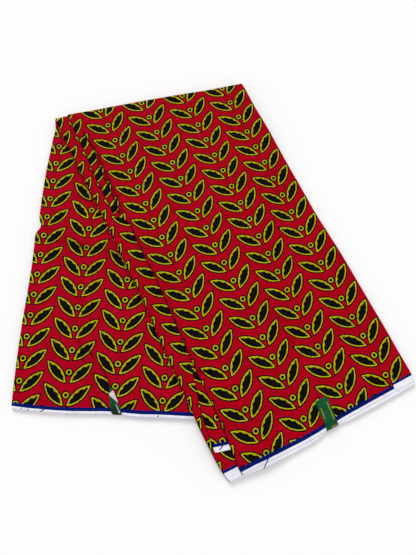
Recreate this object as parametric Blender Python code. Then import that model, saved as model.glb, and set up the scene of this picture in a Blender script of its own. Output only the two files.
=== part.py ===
"""Folded length of printed cotton cloth: a strip of many layers, folded once across, askew, and fanned out."""

from collections import namedtuple
import math

import bmesh
import bpy

MM = 0.001

# Cloth thicknesses and clearances.
LAYERS = 5.0 * MM          # the hidden layers of one run, pressed together
BACK_CLOTH = 1.2 * MM      # top cloth of the back run
FRONT_CLOTH = 1.4 * MM     # top cloth of the front run
PLEAT_CLOTH = 1.0 * MM     # each pleat under the left edge of the front run
LABEL_STOCK = 0.5 * MM
GAP = 0.3 * MM
GROOVE = 0.8 * MM          # how deep the edges of two layers part
FOLD_SLOT = 2 * GAP + BACK_CLOTH

# The fold across the cloth: its centre line lies this far inside the fold's outer edge.
FOLD_RADIUS = LAYERS + FOLD_SLOT / 2
FOLD_INSET = FOLD_RADIUS + GAP + FRONT_CLOTH
FOLD_OUT = (-0.2907, 0.9568)   # the way the fold faces, square to its edge
WRAP_START = -0.70             # the top cloth turns this far round the fold and stops above the floor

# Where the front run leaves the back run and sinks to the floor.
SINK_START = 29 * MM
SINK_WIDTH = 62 * MM
BACK_RIGHT_X = 36 * MM
BACK_END_Y = -264 * MM

Section = namedtuple("Section", "along left_x left_y right_x right_y")
Layer = namedtuple("Layer", "left right end")
Buckle = namedtuple("Buckle", "x y turn length width height")
PleatEdge = namedtuple("PleatEdge", "along outer inner")
HemSpread = namedtuple("HemSpread", "along share")

# Sections across the front run, from the fold to the selvedge. Sizes are in millimetres.
FRONT_RUN = [
    Section(0.00, -314.3, 238.7, 24.5, 345.2),
    Section(0.10, -280.6, 179.2, 52.5, 291.8),
    Section(0.20, -244.9, 120.9, 82.3, 239.4),
    Section(0.30, -207.1, 63.9, 111.1, 186.4),
    Section(0.40, -171.5, 5.6, 139.5, 133.3),
    Section(0.50, -136.4, -53.0, 168.1, 80.2),
    Section(0.60, -101.9, -112.1, 201.2, 29.9),
    Section(0.70, -68.8, -171.9, 230.6, -22.7),
    Section(0.80, -34.5, -231.1, 261.3, -74.6),
    Section(0.90, 0.0, -290.1, 291.0, -127.1),
    Section(1.00, 41.0, -342.0, 318.6, -179.4),
]

# Sections across the back run, from the fold to the selvedge. The left edge is notched part way down.
BACK_RUN = [
    Section(0.00, -315.8, 240.8, 24.5, 345.2),
    Section(0.06, -310.2, 211.0, 25.7, 309.6),
    Section(0.13, -312.9, 177.0, 27.1, 268.2),
    Section(0.26, -313.2, 113.0, 29.8, 191.2),
    Section(0.385, -310.0, 49.0, 32.4, 117.2),
    Section(0.42, -303.8, 31.0, 33.1, 96.4),
    Section(0.45, -311.0, 17.0, 33.7, 78.7),
    Section(0.56, -306.8, -40.0, 36.0, 13.5),
    Section(0.69, -306.1, -105.0, 38.7, -63.4),
    Section(0.81, -303.6, -167.0, 41.2, -134.5),
    Section(0.92, -300.8, -222.0, 43.5, -199.6),
    Section(1.00, -297.9, -264.0, 45.1, -258.0),
]

# How far each hidden layer shows past the panel, from the slot side outwards, in millimetres.
FRONT_LAYERS = [
    Layer(-0.4, -1.0, 3.4),
    Layer(0.6, -0.2, 5.8),
    Layer(-0.8, -1.3, 5.0),
    Layer(0.0, -0.4, 2.4),
]
BACK_LAYERS = [
    Layer(-1.2, -0.4, 1.8),
    Layer(-0.2, 0.2, 0.6),
    Layer(-1.5, -0.8, 2.2),
    Layer(-0.6, -0.2, 1.0),
]

# Left edge of the front panel, as shares of the run's width. The pleats reach under it.
PLEAT_EDGES = [
    PleatEdge(0.00, 0.066, 0.066),
    PleatEdge(0.12, 0.060, 0.060),
    PleatEdge(0.22, 0.052, 0.052),
    PleatEdge(0.31, 0.050, 0.050),
    PleatEdge(0.335, 0.078, 0.078),
    PleatEdge(0.355, 0.104, 0.104),
    PleatEdge(0.50, 0.103, 0.103),
    PleatEdge(0.66, 0.099, 0.099),
    PleatEdge(0.74, 0.094, 0.081),
    PleatEdge(0.84, 0.094, 0.037),
    PleatEdge(0.92, 0.079, 0.012),
    PleatEdge(1.00, 0.060, 0.010),
]
PLEAT_UNDER = 0.040
PLEAT_EASE = 0.10
INNER_START = 0.735
INNER_END = 0.942

# Soft folds in the back panel, in millimetres and degrees.
BACK_BUCKLES = [
    Buckle(-272, 132, -68, 80, 16, 1.4),
    Buckle(-246, 10, -66, 110, 18, 1.6),
    Buckle(-287, -50, -80, 60, 15, 1.1),
    Buckle(-176, -188, -58, 60, 14, 1.5),
]

# How much of each layer's show is left along the front selvedge: the label pinches the layers together.
HEM_SPREAD = [
    HemSpread(0.00, 0.30),
    HemSpread(0.10, 0.85),
    HemSpread(0.30, 1.00),
    HemSpread(0.45, 0.70),
    HemSpread(0.53, 0.20),
    HemSpread(0.60, 0.45),
    HemSpread(0.75, 0.90),
    HemSpread(0.90, 0.80),
    HemSpread(1.00, 0.10),
]

# Where the stuck-on labels cross the hems, as shares of each run's width, and how far they lean.
FRONT_LABEL_ACROSS = 0.530
FRONT_LABEL_LEAN = -0.116
BACK_LABEL_ACROSS = 0.463
BACK_LABEL_LEAN = 0.357


def mix(a, b, t):
    return a + (b - a) * t


def smooth(t):
    t = min(1.0, max(0.0, t))
    return t * t * (3 - 2 * t)


def read(rows, along, column):
    """The value of a column at this share of the run, between its two nearest rows."""
    if along <= rows[0].along:
        first, last = rows[0], rows[1]
    elif along >= rows[-1].along:
        first, last = rows[-2], rows[-1]
    else:
        first, last = next(pair for pair in zip(rows, rows[1:]) if pair[1].along >= along)
    share = (along - first.along) / (last.along - first.along)
    return mix(getattr(first, column), getattr(last, column), share)


def on_plan(rows, along, across):
    left = (read(rows, along, "left_x"), read(rows, along, "left_y"))
    right = (read(rows, along, "right_x"), read(rows, along, "right_y"))
    return mix(left[0], right[0], across) * MM, mix(left[1], right[1], across) * MM


def run_plan(rows, along, across):
    """A point of the run: along goes from the fold's centre line to the selvedge."""
    length = 640 * MM if rows is FRONT_RUN else 520 * MM
    inset = FOLD_INSET / length
    return on_plan(rows, inset + (1 - inset) * along, across)


def front_floor(x, y):
    """Height of the front run's underside: over the back run, then down to the floor."""
    past_right = x - mix(BACK_RIGHT_X, BACK_RIGHT_X + 9 * MM, (0.1 - y) / 0.36) - SINK_START
    past_end = BACK_END_Y - y - SINK_START
    right = max(past_right, 0.0)
    end = max(past_end, 0.0)
    past = math.hypot(right, end)
    return (LAYERS + FOLD_SLOT) * (1 - smooth(past / SINK_WIDTH))


def back_buckle(x, y):
    """Soft folds of the back panel, fading out where the front run covers it."""
    height = 0.0
    for fold in BACK_BUCKLES:
        turn = math.radians(fold.turn)
        dx, dy = x - fold.x * MM, y - fold.y * MM
        run = dx * math.cos(turn) + dy * math.sin(turn)
        side = -dx * math.sin(turn) + dy * math.cos(turn)
        reach = (run / (fold.length * MM)) ** 2 + (side / (fold.width * MM)) ** 2
        height += fold.height * MM * math.exp(-reach)
    clear = -(0.8526 * (x + 0.3143) + 0.5225 * (y - 0.2387))
    from_edge = x + 0.314
    return height * smooth((clear - 15 * MM) / (26 * MM)) * smooth((from_edge - 5 * MM) / (30 * MM))


def folded(place, across, out):
    """A point of the folded stack: place -2 is the back selvedge, -1 to 0 the fold, 1 the front selvedge.

    out is measured outwards from the middle of the fold's slot.
    """
    if place <= -1:
        x, y = run_plan(BACK_RUN, -1 - place, across)
        height = LAYERS - (out - FOLD_SLOT / 2)
        if out <= FOLD_SLOT / 2 + 1e-6:
            height += back_buckle(x, y)
        return x, y, height
    if place >= 0:
        x, y = run_plan(FRONT_RUN, place, across)
        return x, y, front_floor(x, y) + out - FOLD_SLOT / 2
    turn = math.pi * (place + 0.5)
    back = run_plan(BACK_RUN, 0, across)
    front = run_plan(FRONT_RUN, 0, across)
    middle = LAYERS + FOLD_SLOT / 2
    x = mix(back[0], front[0], place + 1) + FOLD_OUT[0] * out * math.cos(turn)
    y = mix(back[1], front[1], place + 1) + FOLD_OUT[1] * out * math.cos(turn)
    return x, y, middle + out * math.sin(turn)


def back_face(place, across, out):
    """A point above the back run's hidden layers, out above their top."""
    x, y = run_plan(BACK_RUN, place, across)
    return x, y, LAYERS + back_buckle(x, y) + out


def front_face(place, across, out):
    """A point outside the front run's hidden layers, or round the fold where place is negative."""
    return folded(place, across, FOLD_SLOT / 2 + LAYERS + out)


def unit(a, b):
    step = [q - p for p, q in zip(a, b)]
    size = math.sqrt(sum(c * c for c in step))
    return [c / size for c in step]


def moved(point, direction, distance):
    return tuple(p + d * distance for p, d in zip(point, direction))


def edged(face, place, across, out, place_push, across_push):
    """The point, pushed past the ends and sides of its piece by these distances."""
    point = face(place, across, out)
    if place_push:
        ahead = unit(face(place - 0.002, across, out), face(place + 0.002, across, out))
        point = moved(point, ahead, place_push)
    if across_push:
        beside = unit(face(place, across - 0.01, out), face(place, across + 0.01, out))
        point = moved(point, beside, across_push)
    return point


def closed_block(name, counts, place_of, colour, roughness):
    """A closed solid over a block of rows, columns and levels: only its six faces are built."""
    rows, columns, levels = counts
    mesh = bmesh.new()
    corner = {}

    def vertex(i, j, k):
        if (i, j, k) not in corner:
            corner[i, j, k] = mesh.verts.new(place_of(i, j, k))
        return corner[i, j, k]

    def face(*keys):
        first, second, third, fourth = [vertex(*key) for key in keys]
        mesh.faces.new((first, second, third))
        mesh.faces.new((first, third, fourth))

    for i in range(rows - 1):
        for j in range(columns - 1):
            for k in (0, levels - 1):
                face((i, j, k), (i + 1, j, k), (i + 1, j + 1, k), (i, j + 1, k))
    for i in range(rows - 1):
        for k in range(levels - 1):
            for j in (0, columns - 1):
                face((i, j, k), (i + 1, j, k), (i + 1, j, k + 1), (i, j, k + 1))
    for j in range(columns - 1):
        for k in range(levels - 1):
            for i in (0, rows - 1):
                face((i, j, k), (i, j + 1, k), (i, j + 1, k + 1), (i, j, k + 1))
    bmesh.ops.recalc_face_normals(mesh, faces=mesh.faces)
    data = bpy.data.meshes.new(name)
    mesh.to_mesh(data)
    mesh.free()
    if sum(loop_volume(data)) < 0:
        data.flip_normals()
    for polygon in data.polygons:
        polygon.use_smooth = True
    obj = bpy.data.objects.new(name, data)
    cloth_group.objects.link(obj)
    obj.data.materials.append(finish(name, colour, roughness))
    return obj


def loop_volume(data):
    """Signed volume of each fan of triangles, to tell which way the faces point."""
    points = [vertex.co for vertex in data.vertices]
    for polygon in data.polygons:
        keys = polygon.vertices
        for a, b in zip(keys[1:-1], keys[2:]):
            yield points[keys[0]].dot(points[a].cross(points[b]))


def finish(name, colour, roughness):
    material = bpy.data.materials.new(name)
    material.use_nodes = True
    shader = material.node_tree.nodes["Principled BSDF"]
    shader.inputs["Base Color"].default_value = (*colour, 1.0)
    shader.inputs["Roughness"].default_value = roughness
    return material


SHEET_LEVELS = (0.0, 0.22, 0.78, 1.0)


def rim(level, thickness):
    """How far a rounded edge stands out at this share of the thickness."""
    return 0.5 * thickness * math.sqrt(max(0.0, 1 - (2 * level - 1) ** 2))


def cloth_sheet(name, face, places, columns_at, lift, thickness, colour, roughness=0.85):
    """A wall of cloth with rounded edges, lying off a face by lift(place, across)."""
    count = len(columns_at(places[0]))
    heading = 1 if places[-1] > places[0] else -1

    def place_of(i, j, k):
        place = places[i]
        across = columns_at(place)[j]
        level = SHEET_LEVELS[k]
        edge = rim(level, thickness)
        along_push = heading * edge * ((i == len(places) - 1) - (i == 0))
        side_push = edge * ((j == count - 1) - (j == 0))
        out = lift(place, across) + thickness * level
        return edged(face, place, across, out, along_push, side_push)

    counts = (len(places), count, len(SHEET_LEVELS))
    return closed_block(name, counts, place_of, colour, roughness)


# The hidden layers: three levels to each layer, so that its edge is round.
LAYER_STEPS = (0.0, 0.28, 0.72)
LAYER_LEVELS = [(i + step) / len(FRONT_LAYERS) for i in range(len(FRONT_LAYERS)) for step in LAYER_STEPS] + [1.0]
BACK_ROWS = sorted([row.along for row in BACK_RUN] +
                   [(a.along + b.along) / 2 for a, b in zip(BACK_RUN, BACK_RUN[1:]) if b.along - a.along > 0.05])
BACK_PLACES = [-1 - along for along in reversed(BACK_ROWS)]
FOLD_PLACES = [-1 + i / 8 for i in range(1, 8)]
FRONT_PLACES = [i / 25 for i in range(26)]
COLUMNS = [0.0, 0.03, 0.07, 0.12, 0.18, 0.24] + [0.30 + 0.05 * i for i in range(14)] + [1.0]


def layer_edge(place, level, column):
    """How far this level of the stack shows past the panel, with a groove between layers."""
    count = len(FRONT_LAYERS)
    spot = level * count
    index = min(int(spot + 1e-9), count - 1)
    share = smooth(place + 1)
    here = mix(getattr(BACK_LAYERS[index], column), getattr(FRONT_LAYERS[index], column), share)
    if abs(spot - round(spot)) < 1e-6:
        below = max(0, round(spot) - 1)
        other = mix(getattr(BACK_LAYERS[below], column), getattr(FRONT_LAYERS[below], column), share)
        return min(here, other) * MM - GROOVE
    return here * MM


def hidden_layers():
    places = BACK_PLACES + FOLD_PLACES + FRONT_PLACES
    last_row, last_column = len(places) - 1, len(COLUMNS) - 1

    def place_of(i, j, k):
        place, across, level = places[i], COLUMNS[j], LAYER_LEVELS[k]
        place_push = across_push = 0.0
        if i in (0, last_row):
            spread = read(HEM_SPREAD, across, "share") if i else 1 - (2 * across - 1) ** 4
            show = layer_edge(place, level, "end")
            show = show * spread if show > 0 else show
            place_push = -show if i == 0 else show
        if j in (0, last_column):
            sway = 0.35 * MM * math.sin(9 * place + 7 * level)
            show = layer_edge(place, level, "left" if j == 0 else "right") + sway
            across_push = -show if j == 0 else show
        out = FOLD_SLOT / 2 + LAYERS * level
        return edged(folded, place, across, out, place_push, across_push)

    counts = (len(places), len(COLUMNS), len(LAYER_LEVELS))
    return closed_block("hidden_layers", counts, place_of, (0.42, 0.012, 0.028), 0.85)


def back_panel():
    places = list(reversed(BACK_ROWS[1:])) + [0.016]
    columns = [0.0, 0.03, 0.07, 0.12, 0.18, 0.24] + [0.30 + 0.05 * i for i in range(14)] + [1.0]
    cloth_sheet("back_panel", back_face, places, lambda place: columns, lambda place, across: GAP,
                BACK_CLOTH, (0.48, 0.010, 0.026))


def panel_edge(place, column="outer"):
    return read(PLEAT_EDGES, min(max(place, 0.0), 1.0), column)


def front_panel():
    """The wide top panel: it rises over the pleats at its left edge and turns round the fold."""
    lead = (0.0, 0.028, 0.058, 0.095, 0.13, 0.165)
    rest = [0.30 + 0.05 * i for i in range(14)] + [1.0]

    def columns_at(place):
        return [panel_edge(place) + step for step in lead] + rest

    def lift(place, across):
        over = across - panel_edge(place) - PLEAT_UNDER - 0.015
        rise = PLEAT_CLOTH + GAP
        inner = smooth((place - INNER_START + 0.075) / 0.06)
        rise += inner * (PLEAT_CLOTH + 2 * GAP) * (1 - smooth(over / 0.05))
        return GAP + rise * (1 - smooth(over / PLEAT_EASE))

    wrap = [WRAP_START + 0.1 * i for i in range(7)]
    cloth_sheet("front_panel", front_face, wrap + FRONT_PLACES, columns_at, lift,
                FRONT_CLOTH, (0.40, 0.004, 0.020))


def outer_pleat():
    """The pleat between the run's left edge and the front panel, ending above the fold and at its own hem."""
    places = [WRAP_START + 0.1 * i for i in range(7)] + FRONT_PLACES

    def columns_at(place):
        under = panel_edge(place) + PLEAT_UNDER
        return [0.0, 0.35 * under, 0.7 * under, under]

    cloth_sheet("outer_pleat", front_face, places, columns_at, lambda place, across: GAP,
                PLEAT_CLOTH, (0.44, 0.008, 0.022))


def inner_pleat():
    """The small wedge of cloth that comes out from under the front panel near the selvedge."""
    places = [INNER_START] + [place for place in FRONT_PLACES if INNER_START < place < INNER_END] + [INNER_END]

    def columns_at(place):
        left = panel_edge(place, "inner")
        under = panel_edge(place) + 0.030
        return [left, mix(left, under, 0.5), under]

    cloth_sheet("inner_pleat", front_face, places, columns_at,
                lambda place, across: 2 * GAP + PLEAT_CLOTH, PLEAT_CLOTH, (0.46, 0.008, 0.022))


LabelStop = namedtuple("LabelStop", "beyond height half")

# Each label's way over the selvedge: how far past the hem, how high and how wide, in millimetres.
FRONT_LABEL_STOPS = [
    LabelStop(-43.0, 6.8, 10.3),
    LabelStop(-32.0, 6.8, 10.2),
    LabelStop(-21.0, 6.8, 10.1),
    LabelStop(-10.0, 6.8, 10.0),
    LabelStop(0.4, 6.8, 10.0),
    LabelStop(1.9, 6.2, 10.0),
    LabelStop(3.0, 5.0, 10.0),
    LabelStop(3.5, 3.4, 9.9),
    LabelStop(3.4, 1.0, 9.8),
]
BACK_LABEL_STOPS = [
    LabelStop(-38.0, 7.2, 1.8),
    LabelStop(-30.0, 7.8, 4.0),
    LabelStop(-20.0, 8.4, 6.0),
    LabelStop(-10.0, 7.8, 7.0),
    LabelStop(0.4, 7.1, 7.6),
    LabelStop(1.8, 6.5, 7.6),
    LabelStop(3.2, 5.2, 7.5),
    LabelStop(3.8, 3.4, 7.2),
    LabelStop(3.7, 1.0, 6.8),
]


def label(name, stops, middle, ahead, lean, colour):
    """A thin label stuck to the top cloth and turned down over the selvedge, leaning to one side."""
    beside = (-ahead[1], ahead[0])
    shares = (-1.0, -0.5, 0.0, 0.5, 1.0)
    paths = [(stop.beyond * MM, stop.height * MM) for stop in stops]

    def place_of(i, j, k):
        before = paths[max(0, i - 1)]
        after = paths[min(len(paths) - 1, i + 1)]
        way = unit(before, after)
        normal = (-way[1], way[0])
        level = SHEET_LEVELS[k]
        edge = rim(level, LABEL_STOCK)
        out = LABEL_STOCK * level
        push = edge * ((i == len(stops) - 1) - (i == 0))
        beyond = paths[i][0] + normal[0] * out + way[0] * push
        height = paths[i][1] + normal[1] * out + way[1] * push
        side = shares[j] * stops[i].half * MM + edge * ((j == 4) - (j == 0)) + lean * paths[i][0]
        x = middle[0] + ahead[0] * beyond + beside[0] * side
        y = middle[1] + ahead[1] * beyond + beside[1] * side
        return x, y, height

    counts = (len(stops), len(shares), len(SHEET_LEVELS))
    closed_block(name, counts, place_of, colour, 0.45)


def hem_point(rows, across):
    """Where the hem crosses this share of the run, and the way that points past it."""
    x, y = on_plan(rows, 1.0, across)
    left, right = on_plan(rows, 1.0, 0.0), on_plan(rows, 1.0, 1.0)
    beside = unit(left, right)
    return (x, y), (beside[1], -beside[0])


def centre_on_footprint():
    """Moves every piece alike, so that the middle of the footprint on the floor is the origin."""
    points = [vertex.co for obj in cloth_group.objects for vertex in obj.data.vertices]
    middle_x = (min(point.x for point in points) + max(point.x for point in points)) / 2
    middle_y = (min(point.y for point in points) + max(point.y for point in points)) / 2
    low = min(point.z for point in points)
    for point in points:
        point.x -= middle_x
        point.y -= middle_y
        point.z -= low


for old in list(bpy.data.objects):
    bpy.data.objects.remove(old, do_unlink=True)
cloth_group = bpy.data.collections.new("african_print_fabric")
bpy.context.scene.collection.children.link(cloth_group)

hidden_layers()
back_panel()
outer_pleat()
inner_pleat()
front_panel()
middle, ahead = hem_point(FRONT_RUN, FRONT_LABEL_ACROSS)
label("front_label", FRONT_LABEL_STOPS, middle, ahead, FRONT_LABEL_LEAN, (0.012, 0.13, 0.035))
middle, ahead = hem_point(BACK_RUN, BACK_LABEL_ACROSS)
label("back_label", BACK_LABEL_STOPS, middle, ahead, BACK_LABEL_LEAN, (0.012, 0.13, 0.035))
centre_on_footprint()
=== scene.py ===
"""Dresses the folded length of printed cotton: its layers, pleats, printed selvedges and labels."""

from collections import namedtuple
import math

import bpy
import numpy as np
from mathutils import Matrix, Vector


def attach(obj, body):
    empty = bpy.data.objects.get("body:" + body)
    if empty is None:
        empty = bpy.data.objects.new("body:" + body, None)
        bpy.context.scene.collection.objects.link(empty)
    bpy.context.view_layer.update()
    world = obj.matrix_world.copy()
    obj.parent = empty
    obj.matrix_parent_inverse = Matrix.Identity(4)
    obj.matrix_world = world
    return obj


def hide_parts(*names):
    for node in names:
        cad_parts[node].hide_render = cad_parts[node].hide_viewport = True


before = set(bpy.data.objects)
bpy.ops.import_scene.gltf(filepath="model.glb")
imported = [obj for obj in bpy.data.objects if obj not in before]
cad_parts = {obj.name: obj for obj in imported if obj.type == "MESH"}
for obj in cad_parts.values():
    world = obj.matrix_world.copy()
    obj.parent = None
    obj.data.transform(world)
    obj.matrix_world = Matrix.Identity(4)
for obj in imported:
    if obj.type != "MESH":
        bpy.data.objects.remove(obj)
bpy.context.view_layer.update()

MM = 0.001
MIDDLE = (2.066, 0.698)        # the footprint's middle in the measured plan, in millimetres

# The stack, from its fold slot outwards, in metres.
LAYERS = 5.0 * MM
SLOT = 1.8 * MM
SLOT_MIDDLE = LAYERS + SLOT / 2
FOLD_INSET = 7.6 * MM
FOLD_OUT = np.array([-0.2907, 0.9568])
CLOTH = 0.28 * MM
WRAP_START = -0.70             # place on the fold where the top cloths stop, above the floor

# Where the front run leaves the back run, past its right edge and its end, and sinks to the floor.
SINK_START = 27 * MM
SINK_WIDTH = 66 * MM
BACK_RIGHT_X = 34 * MM         # the right edge at BACK_RIGHT_Y
BACK_RIGHT_Y = 0.1
BACK_RIGHT_LEAN = 9 * MM / 0.36
BACK_END_Y = -264.7 * MM

# Length of a run's place from 0 to 1 near its middle.
FRONT_LENGTH = 0.66
BACK_LENGTH = 0.53

# The way of the cloth's weft on each run, in degrees.
FRONT_WEFT = 29.9
BACK_WEFT = 0.85

Point = namedtuple("Point", "x y")
Crease = namedtuple("Crease", "x0 y0 x1 y1 width height taken")
Swell = namedtuple("Swell", "x y turn length width height")
PleatEdge = namedtuple("PleatEdge", "place outer inner")
LayerEnds = namedtuple("LayerEnds", "left right front_top front_low back_top back_low")
HemShow = namedtuple("HemShow", "across front back")
LabelStop = namedtuple("LabelStop", "beyond height half")
Selvedge = namedtuple("Selvedge", "white stripe")
Shift = namedtuple("Shift", "weft warp turn")
SelvedgeMark = namedtuple("SelvedgeMark", "weft slant below half")
GoldBar = namedtuple("GoldBar", "side beyond half_wide half_long soft_wide soft_long")
Wander = namedtuple("Wander", "seed size")

# The edges of both runs in plan, from the fold to the selvedge, in millimetres.
FRONT_LEFT = [Point(*row) for row in [
    (-314.3, 238.7), (-289.7, 197.6), (-259.6, 148.1), (-228.5, 98.0), (-194.9, 45.9), (-160.1, -14.0),
    (-127.3, -68.0), (-105.2, -106.0), (-81.4, -150.5), (-55.2, -194.8), (-31.6, -236.2),
    (-10.5, -273.5), (15.4, -316.1), (32.8, -340.4), (38.0, -344.3),
]]
FRONT_RIGHT = [Point(*row) for row in [
    (18.0, 344.3), (21.3, 339.8), (48.1, 289.0), (71.5, 250.2), (99.1, 202.5), (125.8, 156.4),
    (162.2, 89.7), (201.4, 26.8), (235.9, -33.7), (269.3, -91.4), (299.6, -146.8), (310.5, -164.7),
    (317.6, -180.2),
]]
BACK_LEFT = [Point(*row) for row in [
    (-316.7, 240.8), (-309.8, 217.9), (-311.7, 205.1), (-311.8, 180.4), (-312.6, 132.3), (-311.3, 86.0),
    (-309.0, 44.8), (-302.3, 30.4), (-310.7, 17.7), (-308.8, -2.1), (-306.1, -44.0), (-304.9, -94.7),
    (-304.6, -133.9), (-302.1, -190.3), (-299.2, -235.3), (-297.0, -265.0),
]]
BACK_RIGHT = [Point(18.0, 344.3), Point(45.1, -259.7)]

# How far the corners of those edges are eased, and each run's length at its edges.
FRONT_LEFT_EASE = 14 * MM
FRONT_RIGHT_EASE = 16 * MM
BACK_EASE = 6 * MM
FRONT_EDGE = 640 * MM
BACK_EDGE = 520 * MM
EDGE_POINTS = 600
EDGE_TAIL = 20                 # points at an edge's end that give its way past the hem

# How far the fold bulges past a straight line, in millimetres, along its length.
FOLD_SHARES = [0.0, 0.08, 0.30, 0.46, 0.61, 0.70, 0.80, 1.0]
FOLD_BULGES = [1.2, 2.8, 3.6, 3.3, 2.4, 1.3, -0.6, -0.5]

# Left edge of the front panel, and of the wedge under it, as shares of the run's width.
PLEAT_EDGES = [PleatEdge(*row) for row in [
    (-1.00, 0.068, 0.068), (0.00, 0.068, 0.068), (0.06, 0.068, 0.068), (0.12, 0.066, 0.066),
    (0.20, 0.056, 0.056), (0.28, 0.055, 0.055), (0.318, 0.052, 0.052), (0.332, 0.083, 0.083),
    (0.350, 0.106, 0.106), (0.40, 0.102, 0.102), (0.50, 0.104, 0.104), (0.60, 0.099, 0.099),
    (0.66, 0.100, 0.100), (0.74, 0.094, 0.081), (0.80, 0.093, 0.053), (0.84, 0.096, 0.035),
    (0.88, 0.096, 0.025), (0.92, 0.090, 0.015), (0.95, 0.083, 0.010), (1.00, 0.068, 0.010),
]]
PLEAT_UNDER = 0.040            # how far the outer pleat reaches under the front panel
INNER_UNDER = 0.03             # the same for the inner pleat, which runs from INNER_START to its ends
INNER_START = 0.74
INNER_END_LEFT = 0.930
INNER_END_RIGHT = 0.943

# How far the pleats under its left edge lift the front panel, and how that fades across and at the hem.
LEAST_LIFT = 0.15 * MM
PLEAT_LIFT = 0.95 * MM
PLEAT_SLOPE = 0.09
WEDGE_LIFT = 0.9 * MM
WEDGE_SLOPE = 0.05
WEDGE_START = 0.69
WEDGE_EASE = 0.07
HEM_LIFT_LOST = 0.7

# The pressed layers from the slot outwards: how far each shows past the top cloth, in millimetres.
LAYER_TUBES = [
    LayerEnds(-1.2, -1.0, 2.6, 2.2, 1.4, 1.0),
    LayerEnds(-0.3, -0.3, 4.4, 3.8, 2.2, 1.8),
    LayerEnds(-1.6, -1.3, 5.4, 5.0, 1.2, 2.4),
    LayerEnds(-0.8, -0.2, 5.9, 5.6, 2.3, 1.6),
    LayerEnds(0.2, -0.8, 6.2, 6.0, 2.6, 2.1),
    LayerEnds(-0.5, -0.4, 6.5, 6.3, 2.5, 2.7),
]
LAYER_GAP = 0.05 * MM
LAYER_HEM_REACH = 0.06         # the last share of a run, over which its layers' hems shift
LAYER_SIDE_WIDTH = 0.03        # share across over which its sides shift

# How unevenly the layers show at each hem and side, in millimetres.
LAYER_FRONT_WANDER = Wander(40, 0.35)
LAYER_BACK_WANDER = Wander(60, 0.25)
LAYER_LEFT_WANDER = Wander(10, 0.5)
LAYER_RIGHT_WANDER = Wander(20, 0.5)

# What share of that shows along each selvedge. The labels pinch the layers together.
HEM_SHOWS = [HemShow(*row) for row in [
    (0.00, 0.28, 0.88), (0.07, 0.35, 1.25), (0.10, 0.50, 1.00), (0.14, 0.76, 0.68), (0.20, 0.97, 0.85),
    (0.26, 1.09, 1.04), (0.34, 1.32, 0.82), (0.40, 1.38, 0.60), (0.46, 1.22, 0.10), (0.50, 0.70, 0.77),
    (0.52, 0.42, 1.10), (0.56, 0.42, 1.37), (0.58, 0.60, 1.50), (0.64, 0.93, 1.20), (0.71, 1.00, 0.88),
    (0.78, 1.02, 0.68), (0.84, 1.02, 1.35), (1.00, 0.92, 1.00),
]]

# The top cloths: how thick each lies, and how its hem and sides wander, in millimetres.
PANEL_THICK = 1.5 * MM
OUTER_PLEAT_THICK = 0.8 * MM
INNER_PLEAT_THICK = 0.75 * MM
OVER_LAYERS = 0.12 * MM        # clearance over the pressed layers
OVER_OUTER_PLEAT = 1.0 * MM    # height over those layers of the inner pleat, on the outer one
TOP_HEM_WANDER = Wander(0, 0.16)
TOP_SIDE_WANDER = Wander(5, 0.25)
LEAVES_APART = 0.5             # how far the upper leaf's hem lies past the lower leaf's
HEM_PRESSED = 0.80             # share of its thickness that a top cloth loses at its hem
TOP_HEM_REACH = 0.05           # the last share of a run, over which its top cloth's hem shifts
TOP_SIDE_WIDTH = 0.04          # share across over which its sides shift

# Where a top cloth's creases and swells fade out: at its sides and round the fold.
RELIEF_SIDE = 0.04
RELIEF_AT_SIDE = 0.2
RELIEF_START = 0.02
RELIEF_EASE = 0.05
EDGE_SHADE_EASE = 0.1

# How far each run's top cloth reaches past its plan's hem, in millimetres.
HEM_SHIFTS = [HemShow(*row) for row in [
    (0.00, -0.7, -0.9), (0.07, -0.7, 1.0), (0.14, -0.6, 1.7), (0.20, 0.8, 2.2), (0.26, 1.6, 2.1),
    (0.34, 3.1, 1.0), (0.40, 3.5, -0.1), (0.46, 3.1, -0.6), (0.52, 2.1, 0.6), (0.58, 1.5, 1.0),
    (0.64, 1.1, 0.1), (0.71, 1.0, 0.0), (0.78, 0.8, 0.1), (0.84, 0.8, -0.1), (1.00, 1.0, 0.0),
]]

# Pressed creases of the top cloths, in millimetres: a trough with a ridge beside it. Taken is the cloth
# that it takes up.
FRONT_CREASES = [Crease(*row) for row in [
    (-258, 214, -245, 193, 1.5, -0.75, 0), (-245, 193, -231, 175, 1.2, -0.80, 3),
    (-231, 175, -219, 146, 1.2, -0.95, 4), (-219, 146, -194, 103, 1.3, -1.00, 4),
    (-194, 103, -172, 63, 1.4, -1.00, 4), (-254, 207, -241, 192, 1.2, -0.60, 0),
    (-241, 192, -227, 173, 1.2, -0.80, 2), (-227, 173, -202, 126, 1.2, -0.90, 2),
    (-202, 126, -178, 85, 1.2, -0.90, 2), (-178, 85, -166, 62, 1.3, -0.80, 2),
    (-264, 201, -253, 205, 1.6, -0.50, 0), (-190, 72, -170, 60, 2.2, -0.70, 0),
    (-41, -165, -27, -184, 1.3, -0.80, 2), (-30, -177, -22, -190, 1.2, -0.80, 0),
    (-20, -189, 4, -191, 1.6, -0.60, 0),
]]
BACK_CREASES = [Crease(*row) for row in [
    (-212, -153, -204, -171, 1.3, -0.7, 0), (-204, -171, -197, -190, 1.3, -0.8, 2),
    (-196, -166, -184, -181, 1.4, -0.8, 0), (-172, -190, -159, -211, 1.3, -1.0, 2),
    (-159, -211, -148, -234, 1.4, -1.1, 4), (-148, -234, -140, -250, 2.0, -0.8, 3),
]]

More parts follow.
